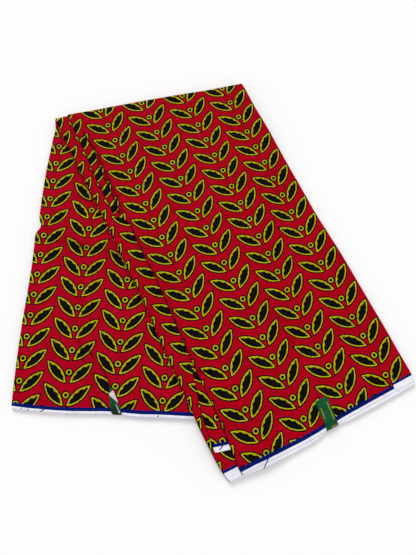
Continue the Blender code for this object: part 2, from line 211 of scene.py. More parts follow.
# Soft swells and hollows of the top cloths, in millimetres and degrees.
FRONT_SWELLS = [Swell(*row) for row in [
    (-120, 190, -55, 120, 46, 1.2), (-30, 60, -64, 150, 40, 1.0), (60, 230, -60, 110, 30, 0.9),
    (40, -90, -58, 150, 34, 1.1), (150, -30, -66, 120, 28, 0.8), (95, -190, -50, 90, 32, 1.0),
    (220, -120, -62, 80, 22, 0.7), (-60, -90, -30, 26, 7, 0.7), (20, -150, -14, 30, 7, 0.5),
]]
BACK_SWELLS = [Swell(*row) for row in [
    (-236, 0, -12, 22, 5, -1.6), (-278, 4, -6, 18, 3, -0.6), (-174, -9, -10, 15, 4.5, -1.6),
    (-226, 18, -12, 56, 12, 1.6), (-200, -22, -16, 40, 12, 1.1), (-238, 86, -14, 18, 4.5, -1.3),
    (-240, 102, -20, 26, 8, 1.2), (-187, 30, -6, 8, 3.5, -1.0), (-296, 190, 42, 14, 4, -1.0),
    (-274, 128, -66, 70, 17, 1.2), (-285, -60, -80, 70, 16, 1.0), (-216, -90, -60, 90, 20, 1.1),
    (-120, -140, -62, 60, 16, 1.0), (-182, -200, -56, 34, 9, 1.5), (-90, -215, -40, 60, 18, 0.9),
    (-250, -190, -86, 70, 18, 0.9),
]]

# A crease's form, in its own width and height, and the painted shade in its trough and in a hollow.
CREASE_EASE = 1.5              # how far beyond its ends it fades
TROUGH_DEPTH = 1.3
RIDGE_PLACE = 1.9
TROUGH_SHADE = 1.1             # how many times narrower than the trough its shade is
TAKEN_REACH = 34               # millimetres beside a crease over which its cloth moves
HOLLOW_SHADE = 0.42            # for each millimetre of a hollow's depth

# The back panel's creases and swells fade out where the front run's left edge lies on it.
FRONT_LEFT_SQUARE = (0.8526, 0.5225)   # the way square to that edge
COVERED_BY = 4
COVERED_EASE = 14

# Each label's way over the selvedge: how far past the hem, how high and how wide, in millimetres.
FRONT_LABEL_STOPS = [LabelStop(*row) for row in [
    (-42.0, 7.5, 10.4), (-36.0, 7.9, 10.4), (-28.0, 7.7, 10.3), (-20.0, 7.7, 10.2), (-12.0, 8.2, 10.1),
    (-6.0, 8.0, 10.0), (-2.0, 8.0, 10.0), (1.0, 7.7, 10.0), (2.8, 6.4, 9.9), (3.7, 4.6, 9.8),
    (4.0, 2.8, 9.7), (3.8, 1.0, 9.6),
]]
BACK_LABEL_STOPS = [LabelStop(*row) for row in [
    (-38.5, 7.9, 1.2), (-36.0, 9.2, 3.0), (-27.0, 9.9, 4.9), (-19.5, 9.5, 6.3), (-13.0, 8.8, 7.4),
    (-8.0, 8.5, 7.9), (-4.0, 8.3, 7.8), (-1.6, 7.5, 7.2), (-0.2, 6.0, 6.4), (0.4, 3.8, 5.4),
    (0.5, 1.2, 4.4),
]]
FRONT_LABEL_ACROSS = 0.539
FRONT_LABEL_LEAN = -0.116
BACK_LABEL_ACROSS = 0.468
BACK_LABEL_LEAN = 0.352
LABEL_STOCK = 0.16 * MM
LABEL_ROWS = 6                 # rows from one stop to the next
LABEL_COLUMNS = 25
LABEL_CUP = 0.25               # how far its sides rise, in millimetres
LABEL_FOLD_FLOOR = 5           # the folds fade out below this height, in millimetres
LABEL_FOLD_EASE = 1.5

# Folds of each label, in its own width and length.
FRONT_LABEL_FOLDS = [
    Crease(-12, -9, 12, -12, 2.4, 0.4, 0),
    Crease(-12, -3, 12, -2, 2.0, -0.3, 0),
]
BACK_LABEL_FOLDS = [
    Crease(-9, -27, 9, -13, 1.6, 1.0, 0),
    Crease(-6, -23, 6, -1, 1.3, 0.9, 0),
    Crease(-6, -36, 6, -34, 1.2, 0.7, 0),
]

# White margin and navy stripe along each selvedge, in millimetres.
PANEL_SELVEDGE = Selvedge(4.8, 6.2)
BACK_SELVEDGE = Selvedge(4.0, 5.2)
OUTER_PLEAT_SELVEDGE = Selvedge(15.0, 4.0)
INNER_PLEAT_SELVEDGE = Selvedge(7.8, 4.6)
LAYER_SELVEDGE = Selvedge(14.0, 5.0)
NUMBER_SPACE_START = 0.889     # share across the front panel where the stripe steps up and gets thinner
NUMBER_SPACE_RISE = 6.0
NUMBER_STRIPE = 4.0

# How far the print of each cloth is off the front panel's, in millimetres and degrees.
NO_SHIFT = Shift(0, 0, 0)
OUTER_PLEAT_PRINT = Shift(27, 13, 0)
INNER_PLEAT_PRINT = Shift(-11, 46, -13)
LAYER_PRINT = Shift(14, 9, 0)

# Stretches of rows along a cloth and of columns across it: start, end and step of each.
WRAP = (WRAP_START, 0, 0.05)
LAYER_ROWS = (-2, -1.985, 0.002, -1.985, -1.9, 0.012, -1.9, -1, 0.02, -1, 0, 0.07,
              0, 0.9, 0.012, 0.9, 0.985, 0.01, 0.985, 1, 0.0015)
LAYER_SIDES = [0, 0.004, 0.012, 0.03, 0.06]
LAYER_COLUMNS = (0.10, 0.90, 0.035)
BACK_ROWS = (0.02, 0.70, 0.006, 0.70, 0.94, 0.0035, 0.94, 1, 0.0025)
BACK_COLUMNS = (0, 0.30, 0.009, 0.30, 0.55, 0.0045, 0.55, 1, 0.012)
OUTER_PLEAT_ROWS = (*WRAP, 0, 0.95, 0.006, 0.95, 1, 0.0014)
INNER_PLEAT_ROWS = (INNER_START, 0.90, 0.004, 0.90, INNER_END_RIGHT, 0.0014)
PLEAT_COLUMNS = (0, 0.08, 0.02, 0.08, 1, 0.075)
FRONT_ROWS = (*WRAP, 0, 0.34, 0.0045, 0.34, 0.68, 0.006, 0.68, 0.80, 0.0025, 0.80, 0.95, 0.006,
              0.95, 1, 0.0016)
FRONT_COLUMNS = (0, 0.07, 0.0032, 0.07, 0.14, 0.007, 0.14, 0.888, 0.016, 0.888, 0.890, 0.002,
                 0.890, 1, 0.016)
UNDER_COLUMNS = 16


def smooth(t):
    t = np.clip(t, 0.0, 1.0)
    return t * t * (3 - 2 * t)


def spaced(*stretches):
    """Values from start to end about a step apart, for each start, end and step in turn."""
    parts = []
    for start, end, step in zip(stretches[0::3], stretches[1::3], stretches[2::3]):
        parts.append(np.linspace(start, end, max(2, round((end - start) / step) + 1))[:-1])
    return np.concatenate(parts + [[stretches[-2]]])


def eased_edge(points, reach):
    """An edge through these points with its corners eased: shares of its length, and x and y in metres."""
    x = (np.array([p.x for p in points]) - MIDDLE[0]) * MM
    y = (np.array([p.y for p in points]) - MIDDLE[1]) * MM
    along = np.concatenate([[0.0], np.cumsum(np.hypot(np.diff(x), np.diff(y)))])
    fine = np.linspace(0.0, along[-1], EDGE_POINTS)
    half = max(1, int(reach / (fine[1] - fine[0])))
    kernel = np.ones(2 * half + 1) / (2 * half + 1)
    eased = []
    for values in (np.interp(fine, along, x), np.interp(fine, along, y)):
        before = 2 * values[0] - values[half:0:-1]
        after = 2 * values[-1] - values[-2:-half - 2:-1]
        eased.append(np.convolve(np.concatenate([before, values, after]), kernel, mode="valid"))
    return fine / along[-1], eased[0], eased[1]


RUN_EDGES = {
    "front": (eased_edge(FRONT_LEFT, FRONT_LEFT_EASE), eased_edge(FRONT_RIGHT, FRONT_RIGHT_EASE), FRONT_EDGE),
    "back": (eased_edge(BACK_LEFT, BACK_EASE), eased_edge(BACK_RIGHT, BACK_EASE), BACK_EDGE),
}


def run_plan(run, along, across):
    """Plan of a point on a run. Past the hem it goes straight on."""
    left, right, length = RUN_EDGES[run]
    inset = FOLD_INSET / length
    along = inset + (1 - inset) * along
    past = np.maximum(along - 1, 0.0)
    ends = []
    for share, x, y in (left, right):
        reach = share[-1] - share[-EDGE_TAIL]
        ends.append((np.interp(along, share, x) + (x[-1] - x[-EDGE_TAIL]) / reach * past,
                     np.interp(along, share, y) + (y[-1] - y[-EDGE_TAIL]) / reach * past))
    (lx, ly), (rx, ry) = ends
    return lx + (rx - lx) * across, ly + (ry - ly) * across


def front_floor(x, y):
    """Height of the front run's underside: over the back run, then down to the floor."""
    past_right = x - (BACK_RIGHT_X + BACK_RIGHT_LEAN * (BACK_RIGHT_Y - y)) - SINK_START
    past_end = BACK_END_Y - y - SINK_START
    past = np.hypot(np.maximum(past_right, 0.0), np.maximum(past_end, 0.0))
    return (LAYERS + SLOT) * (1 - smooth(past / SINK_WIDTH))


def stack_point(place, across, out):
    """A point of the folded stack. Place runs from -2, the back selvedge, round the fold, -1 to 0, to 1."""
    place, across, out = np.broadcast_arrays(place, across, out)
    turn = math.pi * (np.clip(place, -1, 0) + 0.5)
    bx, by = run_plan("back", np.maximum(-1 - place, 0.0), across)
    fx, fy = run_plan("front", np.maximum(place, 0.0), across)
    share = np.clip(place + 1, 0, 1)
    reach = (out + np.interp(across, FOLD_SHARES, FOLD_BULGES) * MM) * np.cos(turn)
    x = bx + (fx - bx) * share + FOLD_OUT[0] * reach
    y = by + (fy - by) * share + FOLD_OUT[1] * reach
    sunk = front_floor(x, y) - (LAYERS + SLOT)
    z = SLOT_MIDDLE + out * np.sin(turn) + np.where(place > 0, sunk, 0.0)
    return np.stack([x, y, z], axis=-1)


def unrolled(place, across, out):
    """The same points laid out flat in the front run's plane, so that the print runs on round the fold."""
    place, across, out = np.broadcast_arrays(place, across, out)
    flat = np.stack(run_plan("front", np.maximum(place, 0.0), across), axis=-1)
    turned = math.pi * np.clip(-place, 0, 1) * out
    behind = np.stack(run_plan("back", np.maximum(-1 - place, 0.0), across), axis=-1)
    behind -= np.stack(run_plan("back", np.zeros_like(across), across), axis=-1)
    mirrored = behind - 2 * (behind @ FOLD_OUT)[..., None] * FOLD_OUT
    return flat + turned[..., None] * FOLD_OUT + np.where((place < -1)[..., None], mirrored, 0.0)


def front_face(place, across, out):
    """A point above the front run's pressed layers, which also wraps the fold."""
    return stack_point(place, across, SLOT / 2 + LAYERS + out)


def back_face(place, across, out):
    """A point above the back run's pressed layers."""
    x, y = run_plan("back", place, across)
    return np.stack([x, y, LAYERS + out + 0 * x], axis=-1)


def on_grain(flat, weft, shift):
    """Weft and warp coordinates of plan points, in metres."""
    turn = math.radians(weft + shift.turn)
    across = flat @ np.array([math.cos(turn), math.sin(turn)]) + shift.weft * MM
    up = flat @ np.array([-math.sin(turn), math.cos(turn)]) + shift.warp * MM
    return across, up


def from_stripe(distance, selvedge):
    """Distance above the stripe's lower edge, scaled so that every stripe counts as wide as the panel's."""
    above = distance - selvedge.white * MM
    return np.where(above > 0, above * PANEL_SELVEDGE.stripe / selvedge.stripe, above)


def crease_place(crease, x, y):
    """Distance beside a crease, positive on its left, how far it has faded in, and its way."""
    way = np.array([crease.x1 - crease.x0, crease.y1 - crease.y0])
    length = np.hypot(*way)
    way = way / length
    run = (x - crease.x0) * way[0] + (y - crease.y0) * way[1]
    beside = (y - crease.y0) * way[0] - (x - crease.x0) * way[1]
    ease = CREASE_EASE * crease.width
    return beside, smooth((run + ease) / (2 * ease)) * smooth((length + ease - run) / (2 * ease)), way


def swell_place(swell, x, y):
    """1 at the middle of a swell and less away from it."""
    turn = math.radians(swell.turn)
    dx, dy = x - swell.x, y - swell.y
    run = dx * math.cos(turn) + dy * math.sin(turn)
    beside = dy * math.cos(turn) - dx * math.sin(turn)
    return np.exp(-(run / swell.length) ** 2 - (beside / swell.width) ** 2)


def creased(x, y, creases, swells=()):
    """Height that creases and swells add, all in millimetres."""
    height = np.zeros_like(x)
    for crease in creases:
        beside, fade, _ = crease_place(crease, x, y)
        share = beside / crease.width
        trough = TROUGH_DEPTH * np.exp(-share ** 2)
        height += crease.height * fade * (trough - np.exp(-(share - RIDGE_PLACE) ** 2))
    for swell in swells:
        height += swell.height * swell_place(swell, x, y)
    return height


def shaded(x, y, creases, swells):
    """How much of the light a crease's trough or a hollow keeps out, from 0 to 1, as shade painted into the
    colour.
    """
    shade = np.zeros_like(x)
    for crease in creases:
        beside, fade, _ = crease_place(crease, x, y)
        shade = np.maximum(shade, fade * np.exp(-(TROUGH_SHADE * beside / crease.width) ** 2))
    for swell in swells:
        if swell.height < 0:
            shade = np.maximum(shade, HOLLOW_SHADE * -swell.height * swell_place(swell, x, y))
    return shade


def taken_up(x, y, creases):
    """How far creases move the print of the cloth beside them, in millimetres of plan."""
    moved = np.zeros(x.shape + (2,))
    for crease in creases:
        beside, fade, way = crease_place(crease, x, y)
        near = np.clip(1 + beside / TAKEN_REACH, 0, 1) * (beside < 0)
        moved += (crease.taken * fade * near)[..., None] * np.array([way[1], -way[0]])
    return moved


def pleat_edge(place, column="outer"):
    """Left edge of the front panel, or of the inner pleat, as a share of the run's width."""
    places = [row.place for row in PLEAT_EDGES]
    return np.interp(place, places, [getattr(row, column) for row in PLEAT_EDGES])


def along_hem(table, across, run):
    return np.interp(across, [row.across for row in table], [getattr(row, run) for row in table])


def sway(values, wander, number):
    """Slow uneven wander, from a few waves, another one for each number."""
    rng = np.random.default_rng(wander.seed + number)
    total = np.zeros_like(values)
    for cycles in (1.7, 3.9, 8.3, 17.0):
        wave = np.sin(values * cycles * math.pi + rng.uniform(0, 2 * math.pi))
        total = total + wave * rng.uniform(0.4, 1.0) / math.sqrt(cycles)
    return total * wander.size


def ring_of(columns, under_columns, bends=3):
    """Once round a flattened tube of cloth: each point's share across, its level and its push outwards."""
    turns = np.linspace(0, math.pi, bends + 2)[1:-1]
    above, under = len(columns), len(under_columns)
    share = np.concatenate([columns, np.ones(bends), under_columns[::-1], np.zeros(bends)])
    level = np.concatenate([np.ones(above), 0.5 + 0.5 * np.cos(turns),
                            np.zeros(under), 0.5 - 0.5 * np.cos(turns)])
    push = np.concatenate([np.zeros(above), np.sin(turns), np.zeros(under), -np.sin(turns)])
    return share, level, push


def edge_push(share, width, left, right):
    """Left and right amounts, each fading out over a width from its own edge."""
    at_left = np.clip(1 - share / width, 0, 1)
    at_right = np.clip(1 - (1 - share) / width, 0, 1)
    return (right * at_right - left * at_left) * MM


def sideways(face, place, across, out):
    """The way along the width at points of a face."""
    way = face(place, across + 0.005, out) - face(place, across - 0.005, out)
    return way / np.linalg.norm(way, axis=-1, keepdims=True)


def make_sheet(name, points, cloth, material, ring, thickness, shade=None):
    """A sheet from rows of points, with its cloth coordinates on each point, and a real thickness inwards."""
    rows, columns = points.shape[:2]
    index = np.arange(rows * columns).reshape(rows, columns)
    beside = np.roll(index, -1, axis=1)
    faces = np.stack([index[:-1], index[1:], beside[1:], beside[:-1]], axis=-1)
    if not ring:
        faces = faces[:, :-1]
    faces = faces.reshape(-1, 4)
    flat = points.reshape(-1, 3)
    corners = flat[faces]
    normals = np.cross(corners[:, 1] - corners[:, 0], corners[:, 3] - corners[:, 0])
    upper = corners.mean(axis=1)[:, 2] - flat[:, 2].mean()
    facing = (normals[:, 2] * upper).sum() if ring else normals[:, 2].sum()
    if facing < 0:
        faces = faces[:, ::-1]
    mesh = bpy.data.meshes.new(name)
    mesh.from_pydata(flat.tolist(), [], faces.tolist())
    kept = mesh.attributes.new("cloth", "FLOAT_VECTOR", "POINT")
    kept.data.foreach_set("vector", cloth.reshape(-1, 3).astype(np.float32).ravel())
    # The shade attribute carries painted shade, which darkens the cloth's colour.
    if shade is not None:
        kept = mesh.attributes.new("shade", "FLOAT", "POINT")
        kept.data.foreach_set("value", shade.astype(np.float32).ravel())
    mesh.polygons.foreach_set("use_smooth", [True] * len(mesh.polygons))
    mesh.materials.append(material)
    piece = bpy.data.objects.new(name, mesh)
    bpy.context.scene.collection.objects.link(piece)
    wall = piece.modifiers.new("cloth thickness", "SOLIDIFY")
    wall.thickness = thickness
    wall.offset = -1.0
    return piece


def pressed_layer(number, material):
    """One flattened tube of the pressed layers, from the back selvedge round the fold to the front one."""
    ends = LAYER_TUBES[number]
    pitch = LAYERS / len(LAYER_TUBES)
    low = SLOT / 2 + pitch * number
    thick = pitch - LAYER_GAP
    near_side = np.array(LAYER_SIDES)
    columns = np.concatenate([near_side, spaced(*LAYER_COLUMNS), 1 - near_side[::-1]])
    share, level, push = ring_of(columns, columns)
    rows = spaced(*LAYER_ROWS)
    place = rows[:, None] + 0 * share
    across = share + 0 * place
    front_show = ends.front_low + (ends.front_top - ends.front_low) * level
    front_show = front_show * along_hem(HEM_SHOWS, share, "front")
    back_show = ends.back_low + (ends.back_top - ends.back_low) * level
    back_show = back_show * along_hem(HEM_SHOWS, share, "back")
    front_show = (front_show + sway(share, LAYER_FRONT_WANDER, number)) * MM
    back_show = (back_show + sway(share, LAYER_BACK_WANDER, number)) * MM
    near_front = np.clip((place - 1 + LAYER_HEM_REACH) / LAYER_HEM_REACH, 0, 1) ** 2
    near_back = np.clip((LAYER_HEM_REACH - 2 - place) / LAYER_HEM_REACH, 0, 1) ** 2
    place = place + near_front * front_show / FRONT_LENGTH - near_back * back_show / BACK_LENGTH
    out = low + thick * level
    left = ends.left + sway(rows[:, None], LAYER_LEFT_WANDER, number)
    right = ends.right + sway(rows[:, None], LAYER_RIGHT_WANDER, number)
    aside = edge_push(share, LAYER_SIDE_WIDTH, left, right) + push * thick / 2
    way = sideways(stack_point, place, across, out)
    points = stack_point(place, across, out) + way * aside[..., None]
    weft, warp = on_grain(unrolled(place, across, out), FRONT_WEFT, LAYER_PRINT)
    to_front = (1 - place) * FRONT_LENGTH + front_show
    to_back = (place + 2) * BACK_LENGTH + back_show
    to_hem = np.minimum(to_front, to_back)
    cloth = np.stack([weft, warp, from_stripe(to_hem, LAYER_SELVEDGE)], axis=-1)
    return make_sheet(f"pressed_layer_{number + 1}", points, cloth, material, True, CLOTH)


def top_cloth(name, rows, columns, end, edges, base, thick, aside, cloth_of, material,
              face=front_face, folds=((), ()), shown=None, edge_shade=0):
    """A top cloth: a flattened tube round its side edges, whose upper leaf carries the creases."""
    rows = spaced(*rows)
    share, level, push = ring_of(spaced(*columns), np.linspace(0, 1, UNDER_COLUMNS))
    near_end = np.clip((rows[:, None] - rows[-1] + TOP_HEM_REACH) / TOP_HEM_REACH, 0, 1) ** 2
    uneven = sway(share, TOP_HEM_WANDER, len(name)) + LEAVES_APART * (level - 0.5)
    last = end(share) + uneven * MM / FRONT_LENGTH
    place = rows[:, None] + near_end * (last - rows[-1])
    left, right = edges(place)
    across = left + (right - left) * share
    out = base(place, across) + thick * level * (1 - HEM_PRESSED * near_end)
    wander = sway(place, TOP_SIDE_WANDER, len(name))
    beside = edge_push(share, TOP_SIDE_WIDTH, aside[0] + wander, aside[1] + wander) + push * thick / 2
    points = face(place, across, out) + sideways(face, place, across, out) * beside[..., None]
    x, y = points[..., 0] / MM + MIDDLE[0], points[..., 1] / MM + MIDDLE[1]
    from_side = smooth((1 - np.abs(2 * share - 1)) / RELIEF_SIDE + RELIEF_AT_SIDE)
    inside = from_side * smooth((place + RELIEF_START) / RELIEF_EASE) * level
    relief = creased(x, y, *folds)
    if shown:
        relief = relief * shown(x, y)
    points[..., 2] += relief * MM * inside
    cloth = np.stack(cloth_of(place, across, out, x, y, (last - place) * FRONT_LENGTH), axis=-1)
    # Painted shade: crease troughs, hollows and a line along the left edge darken the cloth's colour.
    shade = shaded(x, y, *folds) * inside
    if edge_shade:
        past_fold = smooth((place + EDGE_SHADE_EASE) / EDGE_SHADE_EASE)
        shade = np.maximum(shade, np.exp(-(share / edge_shade) ** 2) * past_fold)
    return make_sheet(name, points, cloth, material, True, CLOTH, shade)


def label(name, run, across, lean, stops, folds, material):
    """A thin label stuck on the top cloth and turned down over the selvedge."""
    start, end = np.stack(run_plan(run, np.ones(2), np.array([0.0, 1.0])), axis=-1)
    beside = (end - start) / np.linalg.norm(end - start)
    ahead = np.array([beside[1], -beside[0]])
    middle = start + (end - start) * across
    stop_rows = np.arange(len(stops))
    rows = np.linspace(0, len(stops) - 1, LABEL_ROWS * (len(stops) - 1) + 1)
    beyond = np.interp(rows, stop_rows, [stop.beyond for stop in stops])
    height = np.interp(rows, stop_rows, [stop.height for stop in stops])
    half = np.interp(rows, stop_rows, [stop.half for stop in stops])
    shares = np.linspace(-1, 1, LABEL_COLUMNS)
    side = half[:, None] * shares
    reach = beyond[:, None] + 0 * side
    above_floor = np.clip((height[:, None] - LABEL_FOLD_FLOOR) / LABEL_FOLD_EASE, 0, 1)
    raised = creased(side, reach, folds) * above_floor
    plan = middle + ((reach[..., None] * ahead) + (side + lean * reach)[..., None] * beside) * MM
    z = (height[:, None] + LABEL_CUP * np.abs(shares) ** 3 + raised) * MM
    points = np.concatenate([plan, z[..., None]], axis=-1)
    length = np.cumsum(np.hypot(np.diff(beyond, prepend=beyond[0]), np.diff(height, prepend=height[0])))
    cloth = np.stack([side, (beyond[0] + length)[:, None] + 0 * side, 0 * side], axis=-1) * MM
    return make_sheet(name, points, cloth, material, False, LABEL_STOCK)


class Value:
    """A shader socket that takes part in plain arithmetic."""

    def __init__(self, finish, socket):
        self.finish = finish
        self.socket = socket

    def math(self, operation, *others):
        terms = dict(enumerate((self, *others)))
        return self.finish.node("ShaderNodeMath", {"operation": operation}, terms)

    def __add__(self, other):
        return self.math("ADD", other)

    __radd__ = __add__

    def __mul__(self, other):
        return self.math("MULTIPLY", other)

    __rmul__ = __mul__

    def __sub__(self, other):
        return self.math("SUBTRACT", other)

    def __rsub__(self, other):
        return self * -1 + other

    def __truediv__(self, other):
        return self.math("DIVIDE", other)

    def __abs__(self):
        return self.math("ABSOLUTE")

    def step_up(self, low, high):
        """0 below low, 1 above high, smooth between."""
        settings = {"interpolation_type": "SMOOTHSTEP"}
        values = {"Value": self, "From Min": low, "From Max": high}
        return self.finish.node("ShaderNodeMapRange", settings, values, "Result")

    def step_down(self, low, high):
        return 1 - self.step_up(low, high)


def least(a, b):
    return a.math("MINIMUM", b)


def most(a, b):
    return a.math("MAXIMUM", b)


def hypot(a, b):
    return (a * a + b * b).math("SQRT")


class Finish:
    """A material being made, with one Principled shader."""

    def __init__(self, name, roughness, shine=0.5):
        self.material = bpy.data.materials.new(name)
        self.material.use_nodes = True
        self.tree = self.material.node_tree
        self.shader = self.tree.nodes["Principled BSDF"]
        self.shader.inputs["Roughness"].default_value = roughness
        self.shader.inputs["Specular IOR Level"].default_value = shine

    def node(self, kind, settings, values, output=0):
        """One output of a new node of this kind, with its settings and its sockets' values and links."""
        node = self.tree.nodes.new(kind)
        for key, value in settings.items():
            setattr(node, key, value)
        for key, value in values.items():
            if isinstance(value, Value):
                self.tree.links.new(value.socket, node.inputs[key])
            else:
                node.inputs[key].default_value = value
        return Value(self, node.outputs[output])

    def cloth(self):
        """Weft, warp and distance above the stripe's lower edge, in millimetres."""
        kept = self.node("ShaderNodeAttribute", {"attribute_name": "cloth"}, {}, "Vector")
        return [self.node("ShaderNodeSeparateXYZ", {}, {0: kept}, part) * 1000 for part in ("X", "Y", "Z")]

    def noise(self, weft, warp, size, detail=2.0):
        """Uneven value about 0, on the cloth, with features of this size in millimetres."""
        where = self.node("ShaderNodeCombineXYZ", {}, {"X": weft / size, "Y": warp / size})
        values = {"Vector": where, "Scale": 1.0, "Detail": detail}
        return self.node("ShaderNodeTexNoise", {"noise_dimensions": "2D"}, values) - 0.5

    def tone(self, share, first, second):
        """The first colour where share is 0 and the second where it is 1."""
        return self.node("ShaderNodeMix", {"data_type": "RGBA"}, {0: share, 6: first, 7: second}, 2)

    def feed(self, name, value):
        self.tree.links.new(value.socket, self.shader.inputs[name])

    def raised(self, height, distance, strength):
        """Feeds a height into the shader's normal."""
        values = {"Strength": strength, "Distance": distance, "Height": height}
        self.feed("Normal", self.node("ShaderNodeBump", {}, values, "Normal"))


BRIGHTNESS = 1.06              # what this light makes of a white surface


def screen(red, green, blue):
    """A colour as seen on screen under this light, 0 to 255, as the linear colour a shader takes."""
    def linear(level):
        level = level / 255
        return (level / 12.92 if level <= 0.04045 else ((level + 0.055) / 1.055) ** 2.4) / BRIGHTNESS
    return (linear(red), linear(green), linear(blue), 1.0)


# The leaf print, in millimetres of cloth.
LEAF_PITCH = 74.0              # from one column of leaf pairs to the next
LEAF_RISE = 34.0               # from one pair up to the next
LEAF_HALF = 22.0               # half a leaf's length
LEAF_WIDE = 7.5                # half its width
LEAF_OFFSET = 19.0             # from the middle of a column to the middle of a leaf
BERRY_UP = 19.0
BERRY_SIZE = 4.4
OUTLINE = 2.2
RIM = 1.6
SCALLOP = 1.2                  # how far the rim's scallops reach past their least
SCALLOP_LEAST = 0.3
SCALLOP_TURN = 0.62            # radians of a scallop's wave to the millimetre
WOBBLE = 1.3
WOBBLE_SIZE = 3.4
CRACKLE_SIZE = 1.1
PATCH_SIZE = 2.3
BROKEN_LINE = 1.7              # from a leaf's edge to the brown line in its rim
HALO_WIDTH = 3.0
PRINT_EDGE = 0.25              # half the softness of a printed edge
BLACK = screen(8, 7, 12)
OLIVE = screen(44, 40, 6)
YELLOW = screen(204, 197, 2)
DULL_YELLOW = screen(150, 142, 2)
BROWN = screen(104, 70, 4)
HALO = screen(196, 2, 34)


def leaf_print(finish, weft, warp, ground):
    """Leaves in pairs up the cloth, a berry between: red ground, black leaf, yellow rim, black outline."""
    wobble = finish.noise(weft, warp, WOBBLE_SIZE) * WOBBLE
    column = (weft / LEAF_PITCH).math("ROUND")
    beside = abs(weft - column * LEAF_PITCH)
    half_drop = (column * 0.5).math("FRACT") * LEAF_RISE
    slant = warp - half_drop - beside
    step = slant - (slant / LEAF_RISE).math("ROUND") * LEAF_RISE
    along = ((beside - LEAF_OFFSET) * 2 + step) * math.sqrt(0.5)
    across = step * math.sqrt(0.5)
    arc = (LEAF_HALF ** 2 - LEAF_WIDE ** 2) / (2 * LEAF_WIDE)
    leaf = hypot(along, abs(across) + arc) - (arc + LEAF_WIDE)
    up = warp - half_drop - BERRY_UP
    berry = hypot(beside, up - (up / LEAF_RISE).math("ROUND") * LEAF_RISE) - BERRY_SIZE
    edge = least(leaf, berry) + wobble
    # The rim is wide and scalloped on the leaf's upper side and thin below.
    upper = across.step_up(-0.4, 1.4) * leaf.step_down(-1.0, 0.5)
    scallop = (along * SCALLOP_TURN).math("SINE") * 0.5 + 0.5
    inside = edge + upper * (scallop * SCALLOP + SCALLOP_LEAST) + RIM
    crackle = finish.noise(weft, warp, CRACKLE_SIZE, 3.0)
    patch = finish.noise(weft, warp, PATCH_SIZE)
    broken_line = abs(edge + BROKEN_LINE).step_down(0.25, 0.6) * upper * crackle.step_up(-0.12, 0.02)
    vein_step = along * 0.17 - abs(across) * 0.22
    vein = abs(vein_step - vein_step.math("ROUND")).step_down(0.04, 0.12)
    midrib = abs(across + 0.5).step_down(0.15, 0.7) * abs(along).step_down(11.0, 15.0)
    lines = most(vein * 0.2, midrib * 0.45) * inside.step_down(-1.4, -0.6)

    black = finish.tone(crackle.step_up(0.05, 0.30) * 0.35, BLACK, OLIVE)
    black = finish.tone(lines, black, OLIVE)
    yellow = finish.tone(patch.step_up(-0.05, 0.25), YELLOW, DULL_YELLOW)
    yellow = finish.tone(broken_line * 0.9, yellow, BROWN)
    red = finish.tone(edge.step_down(OUTLINE, OUTLINE + HALO_WIDTH) * 0.5, ground, HALO)
    colour = finish.tone(edge.step_down(OUTLINE - PRINT_EDGE, OUTLINE + PRINT_EDGE), red, BLACK)
    colour = finish.tone(edge.step_down(-PRINT_EDGE, PRINT_EDGE), colour, yellow)
    return finish.tone(inside.step_down(-PRINT_EDGE, PRINT_EDGE), colour, black)


# The ground, the selvedge and the weave. Sizes are in millimetres.
FRONT_RED = screen(170, 1, 24)
FRONT_DEEP_RED = screen(158, 0, 19)
BACK_RED = screen(172, 1, 30)
BACK_DEEP_RED = screen(160, 1, 25)
NAVY = screen(3, 28, 110)
DEEP_NAVY = screen(0, 12, 86)
MARGIN_WHITE = screen(244, 243, 252)
SOILED_WHITE = screen(232, 229, 243)
# Painted shade: the tint that crease troughs, hollows and the cloths' left edges multiply into the cloth's
# colour.
PAINTED_SHADE_TINT = (0.14, 0.10, 0.12, 1.0)
CLOUD_SIZE = 60.0
RAGGED_SIZE = 4.0
RAGGED = 0.5
WORN_SIZE = 5.0
SOILED_SIZE = 11.0
SELVEDGE_EDGE = 0.2            # half the softness of the stripe's edges
MARK_HALF = 0.9                # half a mark's width, fading out by MARK_OUTER
MARK_OUTER = 1.5
THREAD_PITCH = 0.42
THREAD_HEIGHT = 0.035
SLUB_SIZE = 14.0
SLUB_HEIGHT = 0.9
WEAVE_RELIEF = 0.25 * MM
WEAVE_STRENGTH = 0.6


